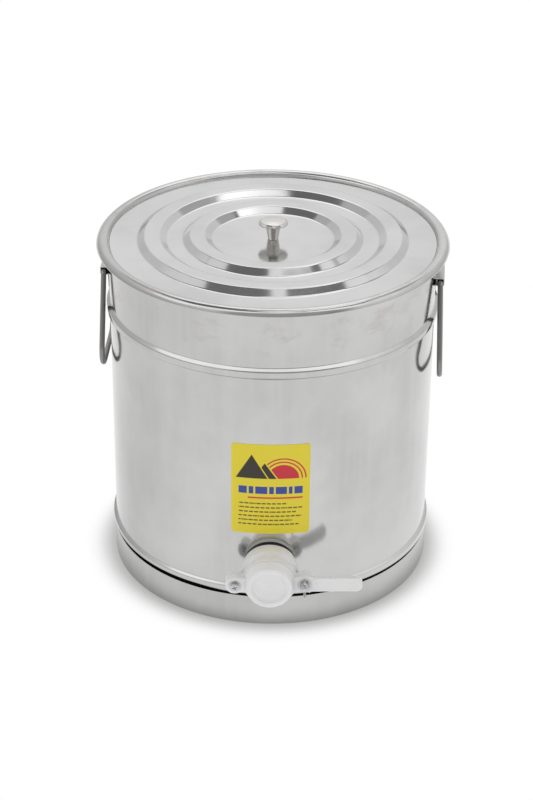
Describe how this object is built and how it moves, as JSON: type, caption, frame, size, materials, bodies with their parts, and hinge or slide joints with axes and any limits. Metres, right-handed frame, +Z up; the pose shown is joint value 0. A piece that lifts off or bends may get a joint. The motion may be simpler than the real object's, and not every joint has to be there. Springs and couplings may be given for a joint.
{
  "type": "tank with tap",
  "caption": "Round sheet-steel honey tank on a base ring, with a loose lid and knob, drop handles in straps, and a plastic flap gate clamped by a wing nut.",
  "frame": {"origin": "centre of the base ring, on the floor", "axes": "+Z up along the tank's axis, -Y towards the gate, +X to the right of someone who faces the gate"},
  "size_m": [0.3879, 0.4234, 0.4084],
  "materials": {
    "polished_steel": "polished, near mirror",
    "plated_steel": "bright zinc",
    "white_plastic": "satin, moulded",
    "black_rubber": "matt",
    "label_film": "printed film"
  },
  "bodies": {
    "tank": {"tank_wall": "polished_steel", "tank_bottom": "polished_steel", "base_ring": "polished_steel", "handle_strap_right": "polished_steel", "handle_strap_left": "polished_steel", "outlet_socket": "polished_steel", "gate_gasket": "black_rubber", "socket_seal": "black_rubber", "gate_body": "white_plastic", "pivot_screw": "plated_steel", "pivot_washer": "plated_steel", "pivot_back_washer": "plated_steel", "pivot_nut": "plated_steel", "clamp_bolt": "plated_steel", "label": "label_film"},
    "lid": {"lid": "polished_steel", "lid_knob": "polished_steel", "knob_washer": "polished_steel", "knob_screw": "polished_steel"},
    "handle_right": {"handle_right": "polished_steel"},
    "handle_left": {"handle_left": "polished_steel"},
    "gate_flap": {"gate_flap": "white_plastic"},
    "clamp_washer": {"clamp_washer": "plated_steel"},
    "wing_nut": {"wing_nut": "plated_steel"}
  },
  "joints": [
    {"name": "lid_lift", "type": "slide", "parent": "tank", "child": "lid", "axis": [0, 0, 1], "range_m": [0, 0.15]},
    {"name": "handle_right_swing", "type": "hinge", "parent": "tank", "child": "handle_right", "pos_m": [0.18408, -0.01384, 0.3505], "axis": [-0.075, -0.9972, 0], "range_deg": [0, 160]},
    {"name": "handle_left_swing", "type": "hinge", "parent": "tank", "child": "handle_left", "pos_m": [-0.18444, 0.00773, 0.3505], "axis": [0.0419, 0.9991, 0], "range_deg": [0, 160]},
    {"name": "flap_swing", "type": "hinge", "parent": "tank", "child": "gate_flap", "pos_m": [-0.03749, -0.2135, 0.07591], "axis": [0, -1, 0], "range_deg": [0, 90]},
    {"name": "clamp_washer_slide", "type": "slide", "parent": "tank", "child": "clamp_washer", "axis": [0, -1, 0], "range_m": [0, 0.0021]},
    {"name": "wing_nut_turn", "type": "hinge", "parent": "clamp_washer", "child": "wing_nut", "pos_m": [0.03749, -0.2205, 0.07749], "axis": [0, -1, 0], "range_deg": [0, 720]}
  ],
  "couplings": [
    {"joint": "clamp_washer_slide", "follows": "wing_nut_turn", "m_per_rad": 0.00015915}
  ]
}
